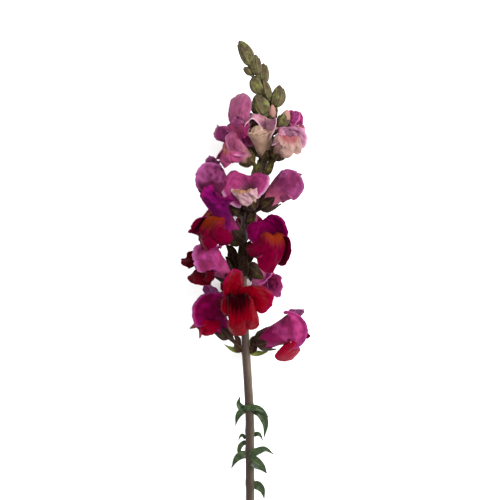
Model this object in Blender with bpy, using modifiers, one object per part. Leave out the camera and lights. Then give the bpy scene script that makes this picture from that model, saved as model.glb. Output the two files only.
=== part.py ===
"""A cut snapdragon raceme lying on its back.

The stem lies along +Y with its flower spike towards +Y, +X is the flower's right as seen from above,
and +Z is up from the surface it lies on.  Every piece is a solid of its own: the stem, and on it the
leaves, bracts, closed buds, calyces on their pedicels, and the one-piece corollas, whose tube opens
into an upper lip of two lobes and a lower lip of three behind a two-humped palate.

Lengths are in millimetres here and become metres in the meshes.
"""
import math

import bmesh
import bpy
import numpy as np
from mathutils import Matrix, Vector

MM = 0.001
GAP = 0.35                      # air left between pieces that touch
ORIGIN = Vector((-2.2, 137.6, 0.0))     # the part's origin, in the lengths used here

# Stem: the line of its centre as (height up the stem, sideways, above the surface).
STEM_LINE = ((-22, 0.0, 2.8), (0, 0.0, 7.7), (26, -0.2, 12.9), (48, -0.2, 17.2), (75, -1.4, 22.4),
             (96, -2.7, 26.4), (120, -3.6, 30.8), (145, -4.4, 32.8), (165, -4.2, 33.6), (183, -3.3, 33.8),
             (192, -1.6, 33.6), (204, 3.9, 32.8), (215, 7.8, 32.1), (228, 11.7, 31.6), (238, 14.1, 31.5),
             (249, 14.2, 31.7), (260, 11.4, 32.2), (272, 7.0, 33.0), (281, 2.6, 33.8))
STEM_RADIUS = ((-22, 2.8), (90, 2.75), (130, 2.3), (200, 1.9), (250, 1.5), (281, 1.0))

# Corolla, at full size.
TUBE_LENGTH = 15.5
TUBE_FOOT = 3.2                 # how much of the tube is its rounded foot
TUBE_RADIUS = 4.3
MOUTH_HALF_WIDTH = 6.6
MOUTH_HALF_HEIGHT = 6.3
POUCH_DEPTH = 1.3
PETAL_THICKNESS = 0.6
TUBE_RINGS = (0, 0.16, 0.34, 0.68, 1.0)
LIP_COLUMNS = 8
LIP_ROWS = 6

# Calyx: its sepals' tips and the notches between them are so far up the tube.
SEPALS = 5
SEPAL_TIPS = 0.77
SEPAL_NOTCHES = 0.45
SEPAL_THICKNESS = 0.75
CALYX_CLEARANCE = GAP + 0.15 + PETAL_THICKNESS / 2
CALYX_BELOW_FOOT = 1.9
PEDICEL_RADIUS = 0.85
PEDICEL_RINGS = (0, 0.4, 0.8)

# Leaf and bud outlines: places along them, and how much of the greatest width is there.
LEAF_OUTLINE = ((0, 0), (0.03, 0.22), (0.14, 0.62), (0.3, 0.95), (0.48, 1.0), (0.66, 0.84),
                (0.83, 0.52), (0.95, 0.2), (1.0, 0))
LEAF_THICKNESS = 0.7
LEAF_KEEL = 0.25                # how steeply the halves of a leaf rise from its midrib
BUD_OUTLINE = ((0.02, 0.34), (0.10, 0.72), (0.28, 0.97), (0.48, 1.0), (0.68, 0.84), (0.86, 0.5),
               (0.96, 0.22))
ROUND_COLUMNS = 8
STEM_RINGS = 27

# Each flower: where its pedicel leaves the stem (height), the middle of the corolla's foot (sideways,
# height, above the stem's centre), the way the tube points (turn about the stem from straight up, rise
# towards the tip, roll to its own right) and its size.  upper is the upper lip's length, the angle it
# bends back to, the angle its sides keep hanging at and its half width; lower is the lower lip's length,
# the angle it drops to and its half width.
FLOWERS = {
    "01": dict(foot=241, base=(1.2, 250.2, 3.2), turn=-42, rise=10, roll=6, size=0.80,
               upper=(22, 84, 84, 13), lower=(13, 80, 8), ruffle=0.4, seed=0.3),
    "02": dict(foot=221, base=(9.4, 226.6, 7.4), turn=-14, rise=50, roll=0, size=0.92,
               upper=(15, 56, 58, 16), lower=(15, 60, 9), ruffle=0.7, seed=1.7),
    "03": dict(foot=211, base=(1.8, 218.6, 5.6), turn=-60, rise=34, roll=26, size=0.88,
               upper=(17, 58, 74, 17), lower=(24, 125, 9), ruffle=1.0, seed=2.9),
    "04": dict(foot=214, base=(17.0, 222.0, 5.0), turn=30, rise=34, roll=14, size=0.90,
               upper=(15, 84, 40, 20), lower=(16, 95, 11), ruffle=1.3, seed=4.1),
    "05": dict(foot=230, base=(20.0, 238.0, -2.0), turn=58, rise=40, roll=-10, size=0.66,
               upper=(15, 30, 80, 13), lower=(20, 115, 9), ruffle=0.5, seed=5.0),
    "07": dict(foot=186, base=(-9.8, 189.2, 2.8), turn=-70, rise=46, roll=30, size=0.98,
               upper=(21, 52, 72, 20), lower=(22, 110, 8), ruffle=0.9, seed=0.9),
    "08": dict(foot=187, base=(2.4, 191.6, 7.8), turn=-24, rise=42, roll=0, size=0.95,
               upper=(16, 66, 44, 24), lower=(16, 80, 9), ruffle=1.0, seed=2.2),
    "09": dict(foot=183, base=(9.4, 190.2, 1.8), turn=72, rise=38, roll=-24, size=1.02,
               upper=(20, 30, 66, 25), lower=(16, 70, 8), ruffle=0.9, seed=3.5),
    "10": dict(foot=165, base=(-5.8, 169.0, 6.2), turn=-46, rise=24, roll=32, size=1.0,
               upper=(16, 104, 20, 21), lower=(31, 125, 17), ruffle=1.3, seed=0.0),
    "11": dict(foot=157, base=(3.8, 160.4, 8.0), turn=28, rise=28, roll=0, size=1.0,
               upper=(16, 110, 4, 21), lower=(32, 125, 17), ruffle=1.3, seed=0.6),
    "12": dict(foot=136, base=(-12.2, 141.4, 1.0), turn=-62, rise=36, roll=50, size=1.0,
               upper=(20, 52, 56, 21), lower=(30, 135, 15), ruffle=1.2, seed=1.2),
    "13": dict(foot=119, base=(-6.0, 121.4, 10.0), turn=-4, rise=16, roll=8, size=1.0,
               upper=(19, 108, -4, 21), lower=(32, 125, 17), ruffle=1.0, seed=2.6),
    "14": dict(foot=98, base=(-12.6, 104.4, 2.0), turn=-58, rise=42, roll=26, size=1.04,
               upper=(24, 38, 62, 26), lower=(22, 125, 14), ruffle=0.9, seed=3.1),
    "15": dict(foot=97, base=(6.0, 102.4, 2.4), turn=78, rise=17, roll=-26, size=1.08,
               upper=(20, 34, 66, 24), lower=(26, 125, 13), ruffle=0.9, seed=4.4),
    "16": dict(foot=145, base=(2.2, 150.6, -6.8), turn=118, rise=-18, roll=20, size=0.88,
               upper=(17, 80, 50, 18), lower=(18, 90, 12), ruffle=1.1, seed=5.2),
    "17": dict(foot=121, base=(-6.4, 125.6, -7.5), turn=-146, rise=20, roll=0, size=0.80,
               upper=(10, 90, 20, 15), lower=(16, 100, 13), ruffle=0.8, seed=0.7),
    "18": dict(foot=170, base=(-1.6, 183.0, -8.4), turn=176, rise=2, roll=0, size=0.82,
               upper=(12, 96, 20, 17), lower=(18.5, 114, 14), ruffle=0.8, seed=1.9),
    "19": dict(foot=209, base=(5.6, 226.0, -5.0), turn=-124, rise=44, roll=0, size=0.80,
               upper=(12, 90, 30, 16), lower=(19, 110, 13), ruffle=0.8, seed=3.8),
}

# Closed buds: foot on the stem (height), base and tip (sideways, height, above the stem's centre),
# greatest radius.
BUDS = {
    "bud_01": dict(foot=279, base=(1.0, 282.4, 5.4), tip=(-6.8, 297.8, 4.0), radius=3.6),
    "bud_02": dict(foot=271, base=(5.8, 277.4, 4.6), tip=(4.2, 289.8, 6.6), radius=2.2),
    "bud_03": dict(foot=267, base=(9.4, 271.6, 1.0), tip=(8.8, 284.6, 1.4), radius=2.6),
    "bud_04": dict(foot=274, base=(1.0, 276.8, 3.4), tip=(-3.8, 281.6, 4.0), radius=2.2),
    "bud_05": dict(foot=260, base=(7.0, 264.0, 5.4), tip=(0.8, 275.0, 7.8), radius=3.1),
    "bud_06": dict(foot=258, base=(12.2, 261.2, 4.2), tip=(9.8, 273.2, 6.6), radius=2.5),
    "bud_07": dict(foot=252, base=(16.0, 255.8, 2.4), tip=(19.4, 270.2, 3.4), radius=3.8),
    "bud_08": dict(foot=247, base=(9.6, 250.8, 6.4), tip=(3.4, 263.0, 9.0), radius=4.8),
    "bud_09": dict(foot=246, base=(15.4, 247.0, 5.0), tip=(14.4, 257.0, 8.2), radius=2.2),
    "bud_10": dict(foot=241, base=(18.8, 242.6, 6.4), tip=(24.4, 254.0, 7.6), radius=3.2),
    "bud_11": dict(foot=250, base=(10.4, 255.4, -4.6), tip=(5.6, 266.6, -8.6), radius=3.2),
    "bud_12": dict(foot=264, base=(9.4, 269.6, -3.8), tip=(6.2, 280.8, -6.0), radius=2.7),
}

# Leaves and bracts: the midrib as (sideways, height, above the stem's centre) from foot to tip, half
# the width at the broadest place, and the turn of the blade about its midrib from foot to tip.
LEAVES = {
    "leaf_01": dict(rib=((-2.6, 58.2, 3.0), (3.4, 58.6, 5.0), (8.4, 56.4, 4.6), (12.2, 51.8, 2.6)),
                    half_width=2.0, turn=(0, -12)),
    "leaf_02": dict(rib=((3.4, 56.6, 0.6), (7.4, 54.0, 1.6), (10.2, 46.6, 0.4), (9.4, 37.6, -2.6)),
                    half_width=2.6, turn=(10, -25)),
    "leaf_03": dict(rib=((-3.8, 57.2, 0.4), (-6.2, 58.6, 0.8), (-7.6, 61.4, 0.4), (-6.4, 66.0, -0.4)),
                    half_width=1.8, turn=(0, 20)),
    "leaf_04": dict(rib=((-3.8, 56.4, 1.2), (-6.4, 54.8, 2.0), (-8.4, 51.4, 1.6), (-9.6, 46.0, 0.2)),
                    half_width=1.7, turn=(0, 25)),
    "leaf_05": dict(rib=((3.0, 39.6, -0.6), (4.8, 40.4, 0.0), (6.8, 39.2, -0.2), (8.6, 35.4, -1.6)),
                    half_width=1.2, turn=(0, -15)),
    "leaf_06": dict(rib=((1.0, 26.8, 3.8), (5.2, 29.2, 4.8), (10.2, 30.4, 4.2), (15.8, 26.6, 1.8)),
                    half_width=2.1, turn=(0, -10)),
    "leaf_07": dict(rib=((1.8, 22.8, 3.8), (4.4, 21.0, 4.6), (7.8, 18.2, 4.0), (11.2, 13.4, 1.4)),
                    half_width=3.8, turn=(-5, 10)),
    "leaf_08": dict(rib=((-3.0, 26.6, 2.4), (-6.2, 26.0, 3.0), (-9.4, 23.0, 2.4), (-12.4, 17.0, 0.4)),
                    half_width=2.1, turn=(0, 20)),
    "leaf_09": dict(rib=((3.4, 5.8, 1.2), (5.8, 5.0, 2.0), (8.2, 2.0, 1.6), (9.6, -4.2, -0.2)),
                    half_width=3.0, turn=(0, 10)),
    "bract_01": dict(rib=((-6.6, 96.4, 0.6), (-9.6, 96.8, 1.0), (-13.0, 98.0, 0.8), (-17.0, 100.4, 0.0)),
                     half_width=1.8, turn=(0, 10)),
    "bract_02": dict(rib=((0.9, 95.2, 1.6), (4.0, 94.6, 1.8), (8.0, 94.8, 1.2), (11.8, 95.6, 0.2)),
                     half_width=1.9, turn=(0, -10)),
}

COLOURS = {
    "stem": (0.13, 0.09, 0.06), "leaf": (0.05, 0.13, 0.04), "calyx": (0.10, 0.09, 0.03),
    "bud": (0.15, 0.18, 0.06), "young": (0.62, 0.22, 0.38), "mauve": (0.38, 0.05, 0.21),
    "magenta": (0.27, 0.01, 0.12), "crimson": (0.38, 0.0, 0.03),
}


def smooth(at, stations):
    """The value at each place of a smooth line through stations of (place, value)."""
    places = np.array([station[0] for station in stations], float)
    values = np.array([station[1] for station in stations], float)
    slopes = np.gradient(values, places)
    at = np.clip(at, places[0], places[-1])
    left = np.clip(np.searchsorted(places, at, side="right") - 1, 0, len(places) - 2)
    span = places[left + 1] - places[left]
    t = (at - places[left]) / span
    return ((2 * t**3 - 3 * t**2 + 1) * values[left] + (t**3 - 2 * t**2 + t) * span * slopes[left]
            + (3 * t**2 - 2 * t**3) * values[left + 1] + (t**3 - t**2) * span * slopes[left + 1])


def bump(at, middle, width):
    """A rounded swelling of height 1."""
    return np.exp(-((at - middle) / width) ** 2)


def stem_centre(height):
    """The stem's centre at a height, as a vector."""
    sideways = smooth(height, [(y, x) for y, x, z in STEM_LINE])
    above = smooth(height, [(y, z) for y, x, z in STEM_LINE])
    return Vector((float(sideways), float(height), float(above)))


def stem_radius(height):
    return float(smooth(height, STEM_RADIUS))


def over_stem(point):
    """A place given as (sideways, height, above the stem's centre), as a vector."""
    return Vector((point[0], point[1], point[2] + stem_centre(point[1]).z))


def curve_through(points, t):
    """Places along a smooth line through points, at each t from 0 to 1, and the direction there."""
    knots = np.linspace(0, 1, len(points))
    axes = [[(k, p[i]) for k, p in zip(knots, points)] for i in range(3)]
    place = np.stack([smooth(t, axis) for axis in axes], 1)
    step = 0.01
    ahead = np.stack([smooth(t + step, axis) for axis in axes], 1)
    behind = np.stack([smooth(t - step, axis) for axis in axes], 1)
    heading = ahead - behind
    return place, heading / np.linalg.norm(heading, axis=1, keepdims=True)


def material(name):
    """The plain finish of one kind of tissue."""
    found = bpy.data.materials.get(name)
    if found:
        return found
    made = bpy.data.materials.new(name)
    made.use_nodes = True
    shader = made.node_tree.nodes["Principled BSDF"]
    shader.inputs["Base Color"].default_value = (*COLOURS[name], 1)
    shader.inputs["Roughness"].default_value = 0.55
    shader.inputs["Metallic"].default_value = 0.0
    return made


def sheet(points, closed):
    """An open sheet of faces through a grid of points in millimetres, as a bmesh in metres.

    points holds rows of points; where closed, each row's last point meets its first.
    """
    rows, columns = points.shape[:2]
    spans = columns if closed else columns - 1
    mesh = bmesh.new()
    bmesh.ops.create_grid(mesh, x_segments=spans, y_segments=rows - 1, size=0.5)
    for corner in mesh.verts:
        row = round((corner.co.y + 0.5) * (rows - 1))
        column = round((corner.co.x + 0.5) * spans) % columns
        corner.co = (Vector(points[row, column]) - ORIGIN) * MM
    return mesh


def finish(name, meshes, tissue, parts):
    """Join bmeshes where they meet and make them one named object."""
    whole = bmesh.new()
    for mesh in meshes:
        piece = bpy.data.meshes.new("piece")
        mesh.to_mesh(piece)
        mesh.free()
        whole.from_mesh(piece)
        bpy.data.meshes.remove(piece)
    bmesh.ops.remove_doubles(whole, verts=whole.verts, dist=0.00001)
    bmesh.ops.recalc_face_normals(whole, faces=whole.faces)
    data = bpy.data.meshes.new(name)
    whole.to_mesh(data)
    whole.free()
    data.shade_smooth()
    data.materials.append(material(tissue))
    made = bpy.data.objects.new(name, data)
    parts.objects.link(made)
    return made


def sleeve(name, rings, tissue, parts):
    """A closed skin through rings of points, whose first and last rings are single points."""
    return finish(name, [sheet(np.array(rings), closed=True)], tissue, parts)


def turned_ring(centre, heading, side, half_width, half_depth, count):
    """An ellipse of count points about centre, across heading, its width along side."""
    heading = Vector(heading).normalized()
    side = (Vector(side) - Vector(side).dot(heading) * heading).normalized()
    up = side.cross(heading)
    return [Vector(centre) + side * (half_width * math.cos(a)) + up * (half_depth * math.sin(a))
            for a in (2 * math.pi * k / count for k in range(count))]


def stem(parts):
    """The round stem, thinner towards the tip, with a plain cut at its foot."""
    line = bpy.data.curves.new("stem", "CURVE")
    line.dimensions = "3D"
    line.bevel_depth = MM
    line.bevel_resolution = 3
    line.use_fill_caps = True
    heights = np.linspace(STEM_LINE[0][0], STEM_LINE[-1][0], STEM_RINGS)
    spline = line.splines.new("POLY")
    spline.points.add(len(heights) - 1)
    for point, height in zip(spline.points, heights):
        point.co = (*((stem_centre(height) - ORIGIN) * MM), 1)
        point.radius = stem_radius(height)
    line.materials.append(material("stem"))
    made = bpy.data.objects.new("stem", line)
    parts.objects.link(made)
    return made


def leaf(name, rib, half_width, turn, parts):
    """A lance-shaped blade with a shallow keel along its midrib."""
    centres, headings = curve_through([over_stem(point) for point in rib],
                                      np.array([t for t, width in LEAF_OUTLINE]))
    rings = []
    for (t, width), centre, heading in zip(LEAF_OUTLINE, centres, headings):
        heading = Vector(heading)
        side = heading.cross(Vector((0, 0, 1))).normalized()
        side = Matrix.Rotation(math.radians(turn[0] + (turn[1] - turn[0]) * t), 3, heading) @ side
        thick = LEAF_THICKNESS / 2 * min(1, 3 * width)
        ring = turned_ring(centre, heading, side, half_width * width, thick, ROUND_COLUMNS)
        up = side.cross(heading)
        keel = [LEAF_KEEL * abs((point - Vector(centre)).dot(side)) for point in ring]
        rings.append([point + up * rise for point, rise in zip(ring, keel)])
    return sleeve(name, rings, "leaf", parts)


def bud(name, foot, base, tip, radius, parts):
    """A closed bud in its calyx, egg-shaped, on a short pedicel."""
    base = over_stem(base)
    tip = over_stem(tip)
    heading = (tip - base).normalized()
    side = heading.cross(Vector((0, 0, 1))).normalized()
    rings = pedicel_rings(foot, base, heading, side, ROUND_COLUMNS)
    for t, girth in BUD_OUTLINE:
        centre = base.lerp(tip, t)
        rings.append(turned_ring(centre, heading, side, radius * girth, radius * girth, ROUND_COLUMNS))
    rings.append([tip] * ROUND_COLUMNS)
    return sleeve(name, rings, "bud", parts)


def pedicel_rings(foot, end, heading, side, columns):
    """The rings of a pedicel from the stem at height foot, to end along heading.

    The first ring is the point that closes its foot.
    """
    centre = stem_centre(foot)
    up_stem = (stem_centre(foot + 1) - stem_centre(foot - 1)).normalized()
    out = end - centre
    out = (out - out.dot(up_stem) * up_stem).normalized()
    start = centre + out * (stem_radius(foot) + GAP + 0.5 * PEDICEL_RADIUS)
    reach = (end - start).length
    leave = start + (out + 0.6 * up_stem).normalized() * reach * 0.4
    arrive = end - heading * reach * 0.35
    rings = [[start] * columns]
    for t in PEDICEL_RINGS:
        place = ((1 - t)**3 * start + 3 * t * (1 - t)**2 * leave
                 + 3 * t**2 * (1 - t) * arrive + t**3 * end)
        ahead = (1 - t)**2 * (leave - start) + 2 * t * (1 - t) * (arrive - leave) + t**2 * (end - arrive)
        rings.append(turned_ring(place, ahead, side, PEDICEL_RADIUS, PEDICEL_RADIUS, columns))
    return rings


class Flower:
    """One flower's place and the shape of its corolla."""

    def __init__(self, foot, base, turn, rise, roll, size, upper, lower, ruffle, seed):
        self.foot = foot
        self.base = over_stem(base)
        self.size = size
        self.upper = upper
        self.lower = lower
        self.ruffle = ruffle
        self.seed = seed
        turn, rise, roll = (math.radians(angle) for angle in (turn, rise, roll))
        self.heading = Vector((math.sin(turn) * math.cos(rise), math.sin(rise),
                               math.cos(turn) * math.cos(rise)))
        level = (Vector((0, 1, 0)) - self.heading.y * self.heading).normalized()
        self.back = Matrix.Rotation(-roll, 3, self.heading) @ level
        self.side = self.back.cross(self.heading)

    def place(self, across, along, back):
        """Points given across, along the tube and towards its back, in full-size millimetres."""
        return (np.array(self.base) + self.size * (np.multiply.outer(across, np.array(self.side))
                + np.multiply.outer(along, np.array(self.heading))
                + np.multiply.outer(back, np.array(self.back))))

    def tube(self, around, t, stand=0.0):
        """The tube's wall: around it from its back, and t from its foot to the mouth.

        The first third of t is the rounded foot.  stand is how far off the wall to be.
        """
        in_foot = np.minimum(t * 3, 1.0)
        beyond = np.clip((t * 3 - 1) / 2, 0, 1)
        along = (TUBE_FOOT + stand) * (1 - np.cos(in_foot * math.pi / 2)) - stand
        along = along + beyond * (TUBE_LENGTH - TUBE_FOOT)
        swell = np.sin(in_foot * math.pi / 2)
        flare = beyond**1.3
        half_width = TUBE_RADIUS + (MOUTH_HALF_WIDTH - TUBE_RADIUS) * flare
        half_height = TUBE_RADIUS + (MOUTH_HALF_HEIGHT - TUBE_RADIUS) * flare
        belly = (0.5 - 0.5 * np.cos(around))**2 * POUCH_DEPTH * bump(beyond, 0.15, 0.3) * swell
        across = (half_width + stand) * swell * np.sin(around)
        back = ((half_height + stand) * swell + belly) * np.cos(around)
        return across, along, back

    def lip(self, u, v, upper):
        """A lip: u across it from -1 to 1, and v from the mouth to its edge.

        bend, width and curl are stations along the lip's middle line: the way the line points against
        the tube's axis, the lip's half width, and how far round its sides are curled.
        """
        edge = np.clip((np.abs(u) - 0.5) * 2, 0, 1)
        if upper:
            sign = 1
            length, reflex, hood, spread = self.upper
            reach = length * (1 - 0.2 * bump(u, 0, 0.22) - 0.42 * edge**2.2)
            bend = [(0, 4), (4, 0.12 * reflex), (9, 0.42 * reflex), (15, 0.75 * reflex), (24, reflex)]
            width = [(0, 10.3), (5, 5 + 0.5 * spread), (11, 1 + 0.9 * spread), (24, spread)]
            flat = 90 - hood
            curl = [(0, 90), (5, 90 - 0.3 * flat), (11, 90 - 0.6 * flat), (18, 90 - 0.85 * flat), (24, hood)]
        else:
            sign = -1
            length, drop, spread = self.lower
            reach = length * (1 - 0.22 * (bump(u, 0.4, 0.13) + bump(u, -0.4, 0.13)) - 0.36 * edge**2)
            bend = [(0, -4), (5, -24), (10, 8), (16, 72), (24, 98), (34, drop)]
            width = [(0, 10.3), (5, 7 + 0.3 * min(10, spread)), (11, 4.4 + 0.48 * spread),
                     (17, 0.85 * spread), (24, spread), (34, 1.1 * spread)]
            curl = [(0, 90), (6, 64), (12, 28), (18, 0), (24, -8), (34, 10)]
        t = v * reach
        fine = np.linspace(0, 36, 361)
        angle = np.radians(smooth(fine, bend))
        along = np.interp(t, fine, np.concatenate([[0], np.cumsum(np.cos(angle[:-1]) * 0.1)]))
        out = np.interp(t, fine, np.concatenate([[0], np.cumsum(np.sin(angle[:-1]) * 0.1)]))
        angle = np.interp(t, fine, angle)
        arc = np.radians(smooth(t, curl))
        arc = np.where(np.abs(arc) < 0.001, 0.001, arc)
        radius = smooth(t, width) / arc
        waves = self.ruffle * spread / 20 * v**2 * (1 - u**4) * np.sin(9.5 * u + self.seed)
        lift = radius * (np.cos(u * arc) - 1) + waves
        gape = 2.4 * np.abs(u)**3 * np.sin(np.minimum(v * 2, 1) * math.pi / 2)
        across = radius * np.sin(u * arc)
        along = TUBE_LENGTH + along - lift * np.sin(angle) * np.minimum(1, t / 10)
        back = sign * (MOUTH_HALF_HEIGHT + out + lift * np.cos(angle) + gape)
        turn = u * math.pi / 2
        meet = (1 - v)**4
        across = across + meet * (MOUTH_HALF_WIDTH * np.sin(turn) - across[0])
        back = back + meet * (sign * MOUTH_HALF_HEIGHT * np.cos(turn) - back[0])
        along = along + meet * (TUBE_LENGTH - along[0])
        return across, along, back


def corolla(name, flower, tissue, parts):
    """The petals of one flower, grown together: a tube that opens into two lips."""
    u, v = np.meshgrid(np.linspace(-1, 1, LIP_COLUMNS + 1), np.linspace(0, 1, LIP_ROWS))
    lips = [sheet(flower.place(*flower.lip(u, v, upper)), closed=False) for upper in (True, False)]
    around, t = np.meshgrid(np.arange(2 * LIP_COLUMNS) * math.pi / LIP_COLUMNS, np.array(TUBE_RINGS))
    tube = sheet(flower.place(*flower.tube(around, t)), closed=True)
    made = finish(name, [tube] + lips, tissue, parts)
    wall = made.modifiers.new("wall", "SOLIDIFY")
    wall.thickness = PETAL_THICKNESS * MM
    wall.offset = 0
    return made


def calyx(name, flower, parts):
    """A pedicel and the cup of five sepals on its end, which holds the foot of the corolla."""
    columns = 2 * SEPALS
    base = flower.base - flower.heading * flower.size * CALYX_BELOW_FOOT
    rings = pedicel_rings(flower.foot, base, flower.heading, flower.side, columns)
    around = np.arange(columns) * 2 * math.pi / columns
    inner = CALYX_CLEARANCE / flower.size
    outer = inner + SEPAL_THICKNESS
    rim = np.where(np.arange(columns) % 2 == 0, SEPAL_TIPS, SEPAL_NOTCHES)
    walls = ((0.08, outer), (0.22, outer), (0.5 * (0.22 + rim), outer), (rim, inner + 0.3),
             (0.34, inner), (0.16, inner), (0, inner))
    for t, stand in walls:
        rings.append(flower.place(*flower.tube(around, np.broadcast_to(t, around.shape), stand)))
    return sleeve(name, rings, "calyx", parts)


def tissue_of(height):
    """Petals darken down the spike."""
    for lowest, tissue in ((215, "young"), (190, "mauve"), (150, "magenta")):
        if height > lowest:
            return tissue
    return "crimson"


def main():
    for old in list(bpy.data.objects):
        bpy.data.objects.remove(old)
    parts = bpy.data.collections.new("snapdragon")
    bpy.context.scene.collection.children.link(parts)
    stem(parts)
    for name, place in LEAVES.items():
        leaf(name, parts=parts, **place)
    for name, place in BUDS.items():
        bud(name, parts=parts, **place)
    for number, place in FLOWERS.items():
        flower = Flower(**place)
        corolla("corolla_" + number, flower, tissue_of(place["base"][1]), parts)
        calyx("calyx_" + number, flower, parts)


main()
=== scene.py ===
"""Looks of the cut snapdragon raceme: fine petals, sepals, buds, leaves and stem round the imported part.

Lengths are in millimetres here and become metres in the meshes.  Places are given as (sideways, height
up the stem, above the surface or the stem's centre), as in the part's own source.
"""
import math

import bmesh
import bpy
import numpy as np
from mathutils import Matrix, Vector, noise as turbulence


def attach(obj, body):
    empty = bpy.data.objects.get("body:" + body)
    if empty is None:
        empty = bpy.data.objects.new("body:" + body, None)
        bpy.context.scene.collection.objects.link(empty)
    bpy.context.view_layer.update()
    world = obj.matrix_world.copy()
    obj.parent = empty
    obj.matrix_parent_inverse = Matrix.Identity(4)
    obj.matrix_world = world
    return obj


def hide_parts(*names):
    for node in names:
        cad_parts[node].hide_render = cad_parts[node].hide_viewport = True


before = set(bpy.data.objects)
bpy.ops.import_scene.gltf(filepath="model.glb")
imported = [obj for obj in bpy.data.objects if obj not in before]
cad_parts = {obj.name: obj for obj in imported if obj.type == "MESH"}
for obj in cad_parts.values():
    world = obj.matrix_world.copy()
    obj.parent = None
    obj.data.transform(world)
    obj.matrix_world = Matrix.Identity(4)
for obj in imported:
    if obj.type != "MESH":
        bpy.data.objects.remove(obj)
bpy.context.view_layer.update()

MM = 0.001
ORIGIN = Vector((-2.2, 137.6, 0.0))

STEM_LINE = ((-22, 0.0, 2.8), (0, 0.0, 7.7), (26, -0.2, 12.9), (48, -0.2, 17.2), (75, -1.4, 22.4),
             (96, -2.7, 26.4), (120, -3.6, 30.8), (145, -4.4, 32.8), (165, -4.2, 33.6), (183, -3.3, 33.8),
             (192, -1.6, 33.6), (204, 3.9, 32.8), (215, 7.8, 32.1), (228, 11.7, 31.6), (238, 14.1, 31.5),
             (249, 14.2, 31.7), (260, 11.4, 32.2), (272, 7.0, 33.0), (281, 2.6, 33.8))
STEM_RADIUS = ((-22, 2.8), (90, 2.75), (130, 2.3), (200, 1.9), (250, 1.5), (281, 1.0))

# Corolla, at full size.
TUBE_LENGTH = 15.5
TUBE_FOOT = 3.2
TUBE_RADIUS = 4.3
MOUTH_HALF_WIDTH = 6.6
MOUTH_HALF_HEIGHT = 6.3
POUCH_DEPTH = 1.3
PETAL_THICKNESS = 0.34
USUAL_HOOD = 9
FULLNESS = 1.6            # how far the lips belly out between the mouth and their edge
CREASE_HEIGHT = 1.9
FOLD_BACK = 2.2           # how far a lip's edge turns back at a curl of 1
# The lower lip's swelling: how far beyond the mouth, how high over its lower rim and how much wider than
# it, at its crest, its front and its foot.
PALATE = ((4.6, 9.4, 1.2), (9.4, 5.6, 1.45), (8.2, -2.6, 1.5))
PALATE_PLACES = (0.0, 0.18, 0.36, 0.52, 1.0)    # where these are along the lip, from the mouth to its edge
LOBE_END = ((-0.34, -82), (-0.17, -42), (0, 0), (0.17, 42), (0.34, 82))     # how a lobe's end is rounded

SEPALS = 5
SEPAL_THICKNESS = 0.4
BUD_SEPAL_THICKNESS = 0.3
LEAF_THICKNESS = 0.3
PEDICEL_RADIUS = 0.8
STALK_SINK = 0.3          # how far a stalk starts inside the stem
YOUNG_HEIGHT = 200        # above this the calyces are green; below it their near-black brown is partly painted shade between the flowers
LEAF_NODES = (58, 42, 29, 7, 96)        # heights at which leaves and the lowest bracts leave the stem
NODE_SWELLING = 0.35

# How finely each shape is divided: columns across or round it, and rows along it.
LIP_COLUMNS, LIP_ROWS = 76, 40
TUBE_ROWS = 14
SEPAL_GRID = (11, 15)
BUD_GRID = (24, 18)
BUD_SEPAL_GRID = (17, 21)
BLADE_GRID = (17, 33)
PEDICEL_COLUMNS, PEDICEL_ROWS = 14, 12
STEM_COLUMNS, STEM_ROWS = 36, 330
WELD = 0.00002            # points nearer than this become one
SEPAL_WELD = 0.000001

# The studio, in metres: its floor, lamps and camera.
FLOOR_HALF_WIDTH = 2.0
FLOOR_DROP = 0.0006
LAMPS = (("key", (0.8, 0.35, 0.95), 0.6, 26), ("fill", (-0.7, 0.5, 1.2), 1.2, 1))
SKY_STRENGTH = 1.45
VIEW_MIDDLE = Vector((0.0022, 0.0249, 0.040))
VIEW_WIDTH = 0.325
LENS = 120
SENSOR_WIDTH = 36

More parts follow.
